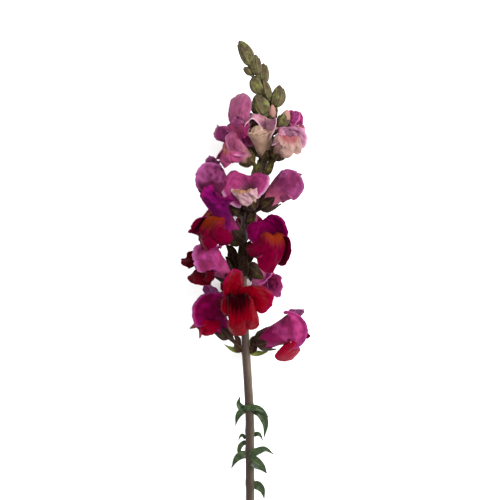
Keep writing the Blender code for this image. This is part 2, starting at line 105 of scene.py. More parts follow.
# Each flower: foot, height on the stem it grows from; base, where its tube starts; turn, rise and roll, in
# degrees; size; upper and lower, where each lobe of a lip ends and how wide it is, from its left to its
# right; hood, how far the upper lip runs on before it turns back; notch, how deeply each lip is cut; palate,
# how far the lower lip swells into the mouth; ruffle, how high its edges wave; curl, how far they turn back;
# sepals, how much of the tube they cover; bracts, how far below the foot each is and how long; seed, the
# form its creases take; palette, its colours.
# A flower that leaves out roll, hood or bracts has the usual ones.
FLOWERS = {
    "01": dict(
        foot=241, base=(1, 249, 3), turn=-38, rise=-24, size=0.84,
        upper=((-4, 264, 12, 18),),
        lower=((-9.5, 249, 16, 6), (-6.5, 247.5, 17.5, 7), (-2.5, 248.5, 16, 5)),
        hood=10, notch=(0, 0.2), palate=0.8, ruffle=0.3, curl=0, sepals=0.6, seed=0.3, palette="blush"),
    "02": dict(
        foot=221, base=(10.6, 225, 1), turn=-20, rise=50, size=1.2,
        upper=((-4.5, 240, 20, 14), (15, 237, 21, 16)),
        lower=((0, 241.5, 13, 7), (5, 243, 14, 8), (10, 240.5, 13, 7)),
        hood=11, notch=(0.3, 0.05), palate=0, ruffle=0.4, curl=0.1, sepals=0.45, seed=1.7, palette="cream"),
    "03": dict(
        foot=211, base=(1.4, 219.6, 5), turn=-58, rise=33, roll=30, size=0.95,
        upper=((-24, 240, 8, 12), (-13.5, 227, 18, 19)),
        lower=((-22, 221, 10, 10), (-17, 215.5, 12, 12), (-9, 217.5, 14, 10)),
        hood=12, notch=(0.2, 0.2), palate=0.5, ruffle=0.9, curl=0.6, sepals=0.6, seed=2.9, palette="rose"),
    "04": dict(
        foot=214, base=(17, 223, 5), turn=30, rise=42, size=0.9,
        upper=((22, 236, 16, 16), (37.5, 234, 14, 16)),
        lower=((19, 229, 16, 9), (24, 221, 19, 11), (32, 224, 17, 12)),
        notch=(0.25, 0.2), palate=0.75, ruffle=1.3, curl=0.6, sepals=0.6, bracts=((1, 13), (-8, 9)),
        seed=4.1, palette="shell"),
    "05": dict(
        foot=231, base=(20.5, 236, -1), turn=60, rise=40, size=0.75,
        upper=((32.5, 250.5, 8, 14), (33.5, 253, -2, 12)),
        lower=((27, 239, 9, 6), (32, 237.5, 5, 8), (35, 241, 0, 6)),
        hood=10, notch=(0.2, 0.2), palate=0.3, ruffle=0.8, curl=0.5, sepals=0.6, seed=5, palette="fuchsia"),
    "07": dict(
        foot=187, base=(-8.5, 186.5, 2), turn=-72, rise=50, roll=40, size=1.15,
        upper=((-28.5, 222.5, 4, 15), (-32.5, 215.5, 15, 21)),
        lower=((-33, 203, 6, 8), (-28.5, 198, 8, 9), (-22.5, 198, 10, 8)),
        notch=(0.05, 0.2), palate=0.45, ruffle=0.9, curl=0.6, sepals=0.85, bracts=((1, 14),), seed=0.9,
        palette="dusk"),
    "08": dict(
        foot=187, base=(2, 190.5, 5), turn=-27, rise=45, size=0.9,
        upper=((-19, 201, 14, 26), (13, 207.5, 22, 20)),
        lower=((-4, 199, 17, 7), (1.5, 193, 20, 11), (7.5, 197.5, 19, 8)),
        notch=(0.25, 0.2), palate=0.35, ruffle=0.9, curl=0.5, sepals=0.7, bracts=((1, 13), (9, 13)),
        seed=2.2, palette="orchid"),
    "09": dict(
        foot=183, base=(6.5, 190.5, 3), turn=76, rise=40, roll=-40, size=1.15,
        upper=((34, 207, 14, 21), (33.5, 212, 8, 10)),
        lower=((18, 195, 10, 8), (24, 195, 6, 8), (30.5, 198, 2, 8)),
        notch=(0.05, 0.2), palate=0, ruffle=0.6, curl=0.3, sepals=0.75, seed=3.5, palette="mauve"),
    "10": dict(
        foot=165, base=(-5, 168.5, 5), turn=-52, rise=35, roll=35, size=1.18,
        upper=((-19, 196, 5, 16), (-29.5, 200.5, 20, 11)),
        lower=((-37.5, 176.5, 20, 14), (-29, 162, 26, 17), (-15.5, 164.5, 26, 13)),
        notch=(0.2, 0.15), palate=1, ruffle=1.8, curl=0.8, sepals=0.85,
        bracts=((1, 14), (12, 17), (19, 16)), seed=0, palette="purple"),
    "11": dict(
        foot=157, base=(4.5, 160, 8), turn=34, rise=35, size=1,
        upper=((-2.5, 173.5, 23, 25), (18.5, 183, 22, 20)),
        lower=((-1, 159, 27, 14), (9, 148.5, 31, 16), (23.5, 156, 26, 22)),
        notch=(0.3, 0.15), palate=0.85, ruffle=1.2, curl=0.6, sepals=0.8, bracts=((1, 14),), seed=0.6,
        palette="purple"),
    "12": dict(
        foot=136, base=(-10.5, 143.5, 2), turn=-54, rise=33, roll=45, size=1.1,
        upper=((-25.5, 164.5, 2, 15), (-36, 160.5, 14, 19)),
        lower=((-44, 156, 10, 13), (-38.5, 142.5, 14, 22), (-29, 142, 14, 14)),
        notch=(0.25, 0.15), palate=0.3, ruffle=2, curl=0.8, sepals=0.8,
        bracts=((1, 12), (-9, 17), (-15, 18)), seed=1.2, palette="lilac"),
    "13": dict(
        foot=119, base=(-7, 122, 10), turn=-2, rise=21, size=1,
        upper=((-8.5, 150.5, 25, 23), (15.5, 130.5, 22, 20)),
        lower=((-16, 122, 27, 9), (-6.5, 107, 31, 14), (2.5, 111, 30, 14)),
        notch=(0.45, 0.12), palate=1.2, ruffle=0.8, curl=0.4, sepals=0.8, bracts=((1, 15),), seed=2.6,
        palette="crimson"),
    "14": dict(
        foot=98, base=(-13, 105.5, 3), turn=-69, rise=52, roll=40, size=1.04,
        upper=((-28.5, 140.5, 6, 14), (-35, 130, 14, 27)),
        lower=((-37, 111, 10, 17), (-32, 106.5, 12, 19), (-25, 107, 14, 16)),
        notch=(0.03, 0.08), palate=0.5, ruffle=0.7, curl=0.2, sepals=0.7, bracts=((1, 12),), seed=3.1,
        palette="magenta"),
    "15": dict(
        foot=97, base=(4.5, 102, 3), turn=76, rise=21, roll=-40, size=1.3,
        upper=((36.5, 113.5, 14, 26), (35.5, 122.5, 5, 18)),
        lower=((23.5, 88.5, 7, 17), (31, 99, 2, 10), (38, 105, 3, 8)),
        notch=(0.03, 0.04), palate=0.4, ruffle=0.9, curl=0.6, sepals=0.55, bracts=((1, 12),), seed=4.4,
        palette="lit_magenta"),
    "16": dict(
        foot=145, base=(-1.5, 152, -6), turn=140, rise=-31, roll=30, size=1,
        upper=((20, 134, -3, 19), (14, 148.5, -6, 17)),
        lower=((6, 133, -27, 10), (12, 136, -31.4, 13), (19, 145, -30.8, 10)),
        notch=(0.3, 0.2), palate=0.8, ruffle=1.2, curl=0.4, sepals=0.7, seed=5.2, palette="pink"),
    "17": dict(
        foot=121, base=(-6.4, 125.6, -7.5), turn=-146, rise=20, size=0.84,
        upper=((-20, 138, -26, 13), (-9, 140, -29, 13)),
        lower=((-21, 124, -28, 9), (-15, 118, -29.6, 12), (-7, 121, -29.4, 9)),
        notch=(0.3, 0.2), palate=1, ruffle=0.9, curl=0.4, sepals=0.6, seed=0.7, palette="crimson"),
    "18": dict(
        foot=170, base=(-1.6, 183, -8.2), turn=176, rise=2, size=0.84,
        upper=((-8, 192, -31, 13), (5, 192, -31, 13)),
        lower=((-11, 175, -32.6, 10), (-3, 171, -32.9, 13), (7, 175, -32.6, 10)),
        notch=(0.3, 0.2), palate=1, ruffle=0.9, curl=0.4, sepals=0.6, seed=1.9, palette="purple"),
    "19": dict(
        foot=209, base=(5.5, 226.5, -5), turn=-120, rise=46, size=1,
        upper=((-12, 243.5, 0, 10), (1.5, 231, 3, 10)),
        lower=((-12, 239.5, -14, 8), (-9.5, 236.5, -18, 8), (-5.5, 234, -20, 8)),
        notch=(0.3, 0.2), palate=0.5, ruffle=0.9, curl=0.4, sepals=0.6, seed=3.8, palette="fuchsia"),
}

# Each bud: foot, height on the stem it grows from; base and tip, its ends; radius; bare, how much of it
# its sepals leave bare.
BUDS = {
    "01": dict(foot=279, base=(1, 282.4, 5.4), tip=(-7.2, 299, 4), radius=4.1),
    "02": dict(foot=271, base=(5.2, 276.6, 4.4), tip=(3.6, 289.6, 6.6), radius=3),
    "03": dict(foot=267, base=(9.4, 271.6, 1), tip=(8.8, 284.6, 1.4), radius=3),
    "04": dict(foot=274, base=(1, 276.8, 3.4), tip=(-3.8, 281.6, 4), radius=2.4),
    "05": dict(foot=260, base=(7.6, 264, 5), tip=(1.4, 275, 7.4), radius=4.2),
    "06": dict(foot=258, base=(12, 261, 4.6), tip=(8.6, 273.4, 7.4), radius=3.4),
    "07": dict(foot=252, base=(16, 255.8, 2.4), tip=(19.4, 270.2, 3.4), radius=4.2),
    "08": dict(foot=247, base=(9.6, 250.8, 6.4), tip=(3.4, 263, 9), radius=5.4),
    "09": dict(foot=246, base=(15.4, 247, 5), tip=(14.4, 257, 8.2), radius=2.6, bare=0.45),
    "10": dict(foot=240, base=(19, 241.4, 6.6), tip=(24.6, 253.6, 8.4), radius=4.2, bare=0.2),
    "11": dict(foot=250, base=(10.4, 255.4, -4.6), tip=(5.6, 266.6, -8.6), radius=3.6),
    "12": dict(foot=264, base=(9.4, 269.6, -3.8), tip=(6.2, 280.8, -6), radius=3),
}

# Each leaf: rib, its midrib from foot to tip; half_width; turn, how its blade turns about the midrib, from
# foot to tip, in degrees; leaflets, the rib and half width of each small leaf beside it.
LEAVES = {
    "leaf_01": dict(rib=((-2.6, 58.2, 3), (3.4, 58.6, 5), (8.4, 56.4, 4.6), (12.2, 51.8, 2.6)),
                    half_width=2, turn=(0, -12)),
    "leaf_02": dict(rib=((3.4, 56.6, 0.6), (7.4, 54, 1.6), (10.2, 46.6, 0.4), (9.4, 37.6, -2.6)),
                    half_width=3.1, turn=(10, -25)),
    "leaf_03": dict(rib=((-3.8, 57.2, 0.4), (-6.2, 58.6, 0.8), (-7.6, 61.4, 0.4), (-6.4, 66, -0.4)),
                    half_width=2.3, turn=(0, 20)),
    "leaf_04": dict(rib=((-3.8, 56.4, 1.2), (-6.4, 54.8, 2), (-8.4, 51.4, 1.6), (-9.6, 46, 0.2)),
                    half_width=2.3, turn=(0, 25)),
    "leaf_05": dict(rib=((3, 39.6, -0.6), (4.8, 40.4, 0), (6.8, 39.2, -0.2), (8.6, 35.4, -1.6)),
                    half_width=1.5, turn=(0, -15)),
    "leaf_06": dict(rib=((1, 26.8, 3.8), (5.2, 29.2, 4.8), (10.2, 30.4, 4.2), (15.8, 26.6, 1.8)),
                    half_width=2.5, turn=(0, -10)),
    "leaf_07": dict(rib=((1.8, 22.8, 3.8), (4.4, 21, 4.6), (7.8, 18.2, 4), (11.2, 13.4, 1.4)),
                    half_width=3.8, turn=(-5, 10)),
    "leaf_08": dict(rib=((-3, 26.6, 2.4), (-6.2, 26, 3), (-9.4, 23, 2.4), (-12.4, 17, 0.4)),
                    half_width=2.7, turn=(0, 20),
                    leaflets=((((-3.4, 34.6, -1), (-6.4, 32, -0.4), (-7.2, 27.6, -0.8),
                                (-5.2, 23.4, -2)), 1.6),
                              (((-3.2, 37.6, -0.8), (-4.8, 39.4, -0.2), (-6.4, 38.6, -0.4),
                                (-7.6, 35.8, -1.4)), 1.1))),
    "leaf_09": dict(rib=((3.4, 5.8, 1.2), (5.8, 5, 2), (8.2, 2, 1.6), (9.6, -4.2, -0.2)),
                    half_width=3, turn=(0, 10)),
    "bract_01": dict(rib=((-6.6, 96.4, 0.6), (-9.6, 96.8, 1), (-13, 98, 0.8), (-17, 100.4, 0)),
                     half_width=1.8, turn=(0, 10)),
    "bract_02": dict(rib=((0.9, 95.2, 1.6), (4, 94.6, 1.8), (8, 94.8, 1.2), (11.8, 95.6, 0.2)),
                     half_width=1.9, turn=(0, -10)),
}

# A blade's half width along it, as shares.
LEAF_OUTLINE = ((0, 0.12), (0.08, 0.3), (0.25, 0.85), (0.42, 1.0), (0.65, 0.82), (0.85, 0.42), (1, 0.02))
BRACT_OUTLINE = ((0, 0.7), (0.2, 0.9), (0.45, 1.0), (0.75, 0.7), (0.92, 0.3), (1, 0.02))

# Petal colours: the tube's foot and its pouch, the outer and inner side of the upper and lower lip,
# the upper lip's rim, the palate's swelling, and the shine of their velvet, which also colours the painted
# sheen on the outer side.
PETAL_PLACES = ("tube", "pouch", "upper_out", "upper_in", "lower_out", "lower_in", "rim", "palate", "sheen")
PALETTES = {
    "blush": "7c4c5c 886859 754257 7c3c5a 743058 701a48 8c5870 6a2440 e8a0c0",
    "cream": "846a57 846a57 805165 7a4858 8e7764 8c6c60 b08a98 7a5648 e8b8b0",
    "rose": "7b5455 845f5b 6a3048 6c2650 82425f 88375d 8a5471 8e4848 d070a0",
    "shell": "755848 75594b 885468 8c5c74 84685a 8c6e66 b890a0 7c4046 e8a8b8",
    "dusk": "67263b 672e40 401129 4c1434 6d294f 5b0b29 7a3d68 6b2230 c060a0",
    "mauve": "97455f 975367 5a1f3e 460629 84405e 7a3454 7a3d68 8a4458 c060a0",
    "orchid": "7b545b 9b8271 480c2a 7b2954 94766b 9b787f a87896 886246 e080b0",
    "pink": "86465f 86425d a43c74 b84080 98306c 9c2458 c060a0 71341f d060a0",
    "fuchsia": "86465f 86465f 7c2a5c 7a2454 84406a 82385c a0587e 7a3a44 d060a0",
    "purple": "5f173b 621b38 410530 55002e 741040 51001a 660d40 601b02 a00878",
    "lilac": "90375f 7b3251 6e2046 54052f 3c020c 400006 9c5888 340203 c050a0",
    "crimson": "580626 580626 660029 5b000b 5c000b 5f000c 6d002d 170002 b00030",
    "magenta": "640e39 661742 560328 6a2a58 5d0014 78001b 7b2d63 460005 b01070",
    # A lit copy of magenta: its lighter upper lip and pinker sheen are a painted highlight for a hood that
    # faces the light.
    "lit_magenta": "640e39 661742 6a1a42 6a2a58 5d0014 78001b 7b2d63 460005 d05098",
}

# The stem's colours, from its foot to its tip.
STEM_COLOURS = ((0.0, "423d2f"), (0.1, "3b3626"), (0.28, "40372a"), (0.36, "594d40"), (0.42, "44392f"),
                (0.5, "301b16"), (0.54, "583d34"), (0.58, "1d0b08"), (0.66, "220c0b"), (0.74, "341b14"),
                (0.85, "3d3224"), (1.0, "464029"))


def linear(code):
    """A colour's linear red, green, blue and alpha, from its sRGB hex code."""
    parts = [int(code[i:i + 2], 16) / 255 for i in (0, 2, 4)]
    return (*(c / 12.92 if c <= 0.04045 else ((c + 0.055) / 1.055) ** 2.4 for c in parts), 1.0)


def smooth(at, stations):
    """The value at each place of a smooth line through stations of (place, value)."""
    places = np.array([station[0] for station in stations], float)
    values = np.array([station[1] for station in stations], float)
    slopes = np.gradient(values, places, axis=0)
    at = np.clip(at, places[0], places[-1])
    left = np.clip(np.searchsorted(places, at, side="right") - 1, 0, len(places) - 2)
    span = places[left + 1] - places[left]
    t = (at - places[left]) / span
    t, span = (np.reshape(part, np.shape(part) + (1,) * (values.ndim - 1)) for part in (t, span))
    return ((2 * t**3 - 3 * t**2 + 1) * values[left] + (t**3 - 2 * t**2 + t) * span * slopes[left]
            + (3 * t**2 - 2 * t**3) * values[left + 1] + (t**3 - t**2) * span * slopes[left + 1])


def bump(at, middle, width):
    """A rounded swelling of height 1."""
    return np.exp(-((at - middle) / width) ** 2)


def ease(at, start, end):
    """0 before start, 1 after end, and a smooth step between."""
    t = np.clip((at - start) / (end - start), 0, 1)
    return t * t * (3 - 2 * t)


def stem_centre(height):
    """The stem's centre at a height, as a vector."""
    sideways = smooth(height, [(y, x) for y, x, z in STEM_LINE])
    above = smooth(height, [(y, z) for y, x, z in STEM_LINE])
    return Vector((float(sideways), float(height), float(above)))


def stem_radius(height):
    """The stem's radius at a height."""
    return float(smooth(height, STEM_RADIUS))


def over_stem(point):
    """A place given as (sideways, height, above the stem's centre), as a vector."""
    return Vector((point[0], point[1], point[2] + stem_centre(point[1]).z))


def curve_through(points, t):
    """Places along a smooth line through points, at each t from 0 to 1, and the direction there."""
    knots = np.linspace(0, 1, len(points))
    axes = [[(k, p[i]) for k, p in zip(knots, points)] for i in range(3)]
    place = np.stack([smooth(t, axis) for axis in axes], 1)
    step = 0.01
    ahead = np.stack([smooth(t + step, axis) for axis in axes], 1)
    behind = np.stack([smooth(t - step, axis) for axis in axes], 1)
    heading = ahead - behind
    return place, heading / np.linalg.norm(heading, axis=1, keepdims=True)


def sheet(points, closed=False, **marks):
    """An open sheet of faces through a grid of points in millimetres, as a bmesh in metres.

    points holds rows of points; where closed, each row's last point meets its first.  Each mark is a
    value for every point, kept with the mesh for its materials.
    """
    rows, columns = points.shape[:2]
    spans = columns if closed else columns - 1
    mesh = bmesh.new()
    bmesh.ops.create_grid(mesh, x_segments=spans, y_segments=rows - 1, size=0.5)
    layers = [(mesh.verts.layers.float.new(name), np.broadcast_to(values, (rows, columns)))
              for name, values in marks.items()]
    for corner in mesh.verts:
        row = round((corner.co.y + 0.5) * (rows - 1))
        column = round((corner.co.x + 0.5) * spans) % columns
        corner.co = (Vector(points[row, column]) - ORIGIN) * MM
        for layer, values in layers:
            corner[layer] = float(values[row, column])
    return mesh


def finish(name, meshes, materials, weld=WELD, thickness=0.0, outward=None):
    """Join bmeshes where they meet and make them one piece of the flower.

    The face that is farthest outward has its front that way, so a sheet's two sides are told apart.
    """
    whole = bmesh.new()
    for mesh in meshes:
        piece = bpy.data.meshes.new("piece")
        mesh.to_mesh(piece)
        mesh.free()
        whole.from_mesh(piece)
        bpy.data.meshes.remove(piece)
    bmesh.ops.remove_doubles(whole, verts=whole.verts, dist=weld)
    bmesh.ops.recalc_face_normals(whole, faces=whole.faces)
    if outward:
        end = max(whole.faces, key=lambda face: face.calc_center_median().dot(outward))
        if end.normal.dot(outward) < 0:
            bmesh.ops.reverse_faces(whole, faces=whole.faces)
    data = bpy.data.meshes.new(name)
    whole.to_mesh(data)
    whole.free()
    data.shade_smooth()
    for material in materials:
        data.materials.append(material)
    made = bpy.data.objects.new(name, data)
    bpy.context.scene.collection.objects.link(made)
    if thickness:
        wall = made.modifiers.new("wall", "SOLIDIFY")
        wall.thickness = thickness * MM
        wall.offset = 0
        wall.material_offset = len(materials) - 1
    return made


def put(piece, node):
    """Fix a piece to the part in place of its plain solid."""
    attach(piece, "root")
    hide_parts(node)


def turned_ring(centre, heading, side, half_width, half_depth, count):
    """An ellipse of count points about centre, across heading, its width along side."""
    heading = Vector(heading).normalized()
    side = (Vector(side) - Vector(side).dot(heading) * heading).normalized()
    up = side.cross(heading)
    return [Vector(centre) + side * (half_width * math.cos(a)) + up * (half_depth * math.sin(a))
            for a in (2 * math.pi * k / count for k in range(count))]


# ---------------------------------------------------------------- materials

def add(tree, kind, inputs, output=0, stops=(), **settings):
    """An output of a new shader node with its settings, and its inputs, by name or number, set or linked.

    stops holds a colour ramp's places and colour codes.
    """
    made = tree.nodes.new("ShaderNode" + kind)
    for name, value in settings.items():
        setattr(made, name, value)
    for name, value in inputs.items():
        if isinstance(value, bpy.types.NodeSocket):
            tree.links.new(value, made.inputs[name])
        else:
            made.inputs[name].default_value = value
    for index, (place, code) in enumerate(stops):
        elements = made.color_ramp.elements
        element = elements[index] if index < 2 else elements.new(place)
        element.position = place
        element.color = linear(code)
    return made.outputs[output] if made.outputs else None


def new_material(name, *marks):
    """An empty material, its node tree, the place on the part, and values kept with the mesh's points."""
    made = bpy.data.materials.new(name)
    made.use_nodes = True
    tree = made.node_tree
    tree.nodes.clear()
    values = [add(tree, "Attribute", {}, "Fac", attribute_name=mark) for mark in marks]
    return made, tree, add(tree, "TexCoord", {}, "Object"), *values


def lumps(size, where, detail=3.0):
    """The settings of cloudy variation whose lumps are about size millimetres."""
    return {"Vector": where, "Scale": 1 / (size * MM), "Detail": detail}


def patched(tree, colour, other, value, start, full, most=1.0):
    """A colour with patches of another: none where value is at start, and most where it is at full."""
    share = add(tree, "MapRange", {0: value, 1: start, 2: full, 3: 0.0, 4: most})
    return add(tree, "Mix", {0: share, 6: colour, 7: linear(other)}, 2, data_type="RGBA")


def striped(tree, across, grain, count, waver):
    """Stripes side by side along a petal, which waver with its grain."""
    place = add(tree, "Math", {0: across, 1: count}, operation="MULTIPLY")
    place = add(tree, "Math", {0: grain, 1: waver, 2: place}, operation="MULTIPLY_ADD")
    return add(tree, "Math", {0: place}, operation="SINE")


def surface(tree, colour, roughness, relief, height, glow=0.0, **shine):
    """The shader of living tissue: its relief is height millimetres deep, and glow is how much light
    comes through it.  shine holds the shader's other settings."""
    normal = add(tree, "Bump", {"Height": relief, "Distance": height * MM, "Strength": 1.0})
    inputs = {"Base Color": colour, "Roughness": roughness, "Normal": normal, "IOR": 1.42}
    inputs.update((name.replace("_", " "), value) for name, value in shine.items())
    result = add(tree, "BsdfPrincipled", inputs)
    if glow:
        through = add(tree, "BsdfTranslucent", {"Color": colour, "Normal": normal})
        result = add(tree, "MixShader", {0: glow, 1: result, 2: through})
    add(tree, "OutputMaterial", {"Surface": result})


def petal(name, palette, side):
    """Velvet petal tissue: a pale tube, deep lobes with fine veins, a pale rim, a coloured palate, and
    patches of painted sheen on the outer side.
    """
    made, tree, where, reach, across, lower = new_material(name, "reach", "across", "lower")
    colours = dict(zip(PETAL_PLACES, PALETTES[palette].split()))
    reach = add(tree, "MapRange", {0: reach, 1: -1.0, 2: 1.0})
    lips = []
    for lip, foot in (("upper", "tube"), ("lower", "pouch")):
        body = colours[lip + "_" + side]
        hem = colours["rim"] if lip == "upper" else body
        lips.append(add(tree, "ValToRGB", {0: reach}, stops=((0, colours[foot]), (0.325, colours[foot]),
                                                             (0.6, body), (0.95, body), (1, hem))))
    colour = add(tree, "Mix", {0: lower, 6: lips[0], 7: lips[1]}, 2, data_type="RGBA")
    grain = add(tree, "TexNoise", lumps(3.5, where, 4.0))
    shade = add(tree, "Math", {0: grain, 1: 0.9, 2: 0.55}, operation="MULTIPLY_ADD")
    colour = add(tree, "Mix", {0: 1.0, 6: colour, 7: shade}, 2, data_type="RGBA", blend_type="MULTIPLY")
    # Fine veins run up the lobes side by side, and fade out in places.
    vein = add(tree, "Math", {0: striped(tree, across, grain, 26.0, 3.0)}, operation="ABSOLUTE")
    vein = add(tree, "Math", {0: vein, 1: 6.0}, operation="POWER")
    fade = add(tree, "MapRange", {0: add(tree, "TexNoise", lumps(6.0, where, 2.0)), 1: 0.4, 2: 0.7})
    vein = add(tree, "Math", {0: vein, 1: fade}, operation="MULTIPLY")
    tint = add(tree, "Math", {0: vein, 1: 0.1}, operation="MULTIPLY")
    colour = add(tree, "Mix", {0: tint, 6: colour, 7: linear("30041c")}, 2, data_type="RGBA")
    if side == "out":
        # On the outer side, cloudy patches lighten the colour towards the sheen colour: a painted sheen
        # where the velvet catches the light.
        painted_sheen = add(tree, "TexNoise", lumps(9.0, where, 2.0))
        colour = patched(tree, colour, colours["sheen"], painted_sheen, 0.46, 0.72, 0.35)
    else:
        # The palate's colour runs down the lip in streaks.
        swelling = add(tree, "Attribute", {}, "Fac", attribute_name="palate")
        swelling = add(tree, "Math", {0: striped(tree, across, grain, 40.0, 5.0), 1: 0.1, 2: swelling},
                       operation="MULTIPLY_ADD")
        colour = patched(tree, colour, colours["palate"], swelling, 0.15, 0.72)
    fine = add(tree, "TexNoise", lumps(0.35, where, 2.0))
    relief = add(tree, "Math", {0: fine, 1: 0.35, 2: grain}, operation="MULTIPLY_ADD")
    relief = add(tree, "Math", {0: vein, 1: -0.2, 2: relief}, operation="MULTIPLY_ADD")
    surface(tree, colour, 0.5, relief, 0.25, glow=0.18, Specular_IOR_Level=0.12, Sheen_Weight=0.04,
            Sheen_Roughness=0.4, Sheen_Tint=linear(colours["sheen"]), Specular_Tint=linear(colours["sheen"]))
    return made


def downy_green(name, stops, rib, dark, bright):
    """Sepal tissue: olive green under fine down, a paler rib and hem, brown and bright green patches."""
    made, tree, where, along, across, bare = new_material(name, "along", "across", "petal")
    colour = add(tree, "ValToRGB", {0: along}, stops=stops)
    colour = patched(tree, colour, bright, add(tree, "TexNoise", lumps(4.5, where, 2.0)), 0.5, 0.72)
    lump = add(tree, "TexNoise", lumps(2.2, where))
    colour = patched(tree, colour, dark, lump, 0.42, 0.68, 0.85)
    across = add(tree, "Math", {0: across}, operation="ABSOLUTE")
    middle = add(tree, "Math", {0: across, 1: -6.0, 2: 1.0}, operation="MULTIPLY_ADD")
    hem = add(tree, "Math", {0: across, 1: 6.0, 2: -5.0}, operation="MULTIPLY_ADD")
    line = add(tree, "Math", {0: middle, 1: hem}, operation="MAXIMUM")
    line = add(tree, "MapRange", {0: line})
    colour = patched(tree, colour, rib, line, 0.0, 1.0, 0.55)
    colour = add(tree, "Mix", {0: bare, 6: colour, 7: linear("866058")}, 2, data_type="RGBA")
    fine = add(tree, "TexNoise", lumps(0.3, where))
    relief = add(tree, "Math", {0: fine, 1: 0.5, 2: lump}, operation="MULTIPLY_ADD")
    relief = add(tree, "Math", {0: line, 1: 0.6, 2: relief}, operation="MULTIPLY_ADD")
    surface(tree, colour, 0.7, relief, 0.25, glow=0.06, Specular_IOR_Level=0.08, Sheen_Weight=0.02)
    return made


def leaf_green(name, dark, middle, light, pale):
    """Leaf blade: mottled green with a pale midrib and side veins, shiny where it bends."""
    made, tree, where, along, across = new_material(name, "along", "across")
    across = add(tree, "Math", {0: across}, operation="ABSOLUTE")
    lump = add(tree, "TexNoise", lumps(2.5, where, 4.0))
    colour = add(tree, "ValToRGB", {0: lump}, stops=((0.25, dark), (0.5, middle), (0.75, light)))
    # The side veins slant from the midrib towards the tip.
    side = add(tree, "Math", {0: across, 1: -0.14, 2: along}, operation="MULTIPLY_ADD")
    for operation, number in (("MULTIPLY", 62.0), ("SINE", 0.0), ("MAXIMUM", 0.0), ("POWER", 8.0),
                              ("MULTIPLY", 0.45)):
        side = add(tree, "Math", {0: side, 1: number}, operation=operation)
    rib = add(tree, "Math", {0: across, 1: -9.0, 2: 1.0}, operation="MULTIPLY_ADD")
    line = add(tree, "Math", {0: rib, 1: side}, operation="MAXIMUM")
    tint = add(tree, "Math", {0: line, 1: 0.6}, operation="MULTIPLY")
    colour = add(tree, "Mix", {0: tint, 6: colour, 7: linear(pale)}, 2, data_type="RGBA")
    fine = add(tree, "TexNoise", lumps(0.4, where))
    relief = add(tree, "Math", {0: fine, 1: 0.3, 2: lump}, operation="MULTIPLY_ADD")
    relief = add(tree, "Math", {0: line, 1: -0.8, 2: relief}, operation="MULTIPLY_ADD")
    surface(tree, colour, 0.42, relief, 0.25, glow=0.12, Specular_IOR_Level=0.4)
    return made


def stem_bark():
    """Stem skin: purple-brown and green, finely ribbed along its length, with a dusting of down, and painted
    shade that darkens it away from its right side.
    """
    made, tree, where, along, around = new_material("stem_skin", "along", "around")
    colour = add(tree, "ValToRGB", {0: along}, stops=STEM_COLOURS)
    # Painted shade: the skin darkens towards 241010 away from its right side, where the key lamp lights it,
    # so its top and left side are painted darker.
    colour = patched(tree, colour, "241010", around, 0.9, 0.35, 0.8)
    drawn = add(tree, "Mapping", {"Vector": where, "Scale": (1.0, 0.12, 1.0)})
    streak = add(tree, "TexNoise", lumps(1.4, drawn, 4.0))
    colour = patched(tree, colour, "281b10", streak, 0.45, 0.75)
    fine = add(tree, "TexNoise", lumps(0.25, where))
    relief = add(tree, "Math", {0: fine, 1: 0.4, 2: streak}, operation="MULTIPLY_ADD")
    surface(tree, colour, 0.55, relief, 0.25, Specular_IOR_Level=0.25, Sheen_Weight=0.05)
    return made


def paper_white():
    """The plain pale floor, faintly mottled."""
    made, tree, where = new_material("pale_floor")
    grain = add(tree, "TexNoise", lumps(60, where, 2.0))
    colour = add(tree, "ValToRGB", {0: grain}, stops=((0.3, "f7f7f7"), (0.7, "fbfbfb")))
    surface(tree, colour, 0.9, grain, 0.02, Specular_IOR_Level=0.1)
    return made


# ---------------------------------------------------------------- shapes

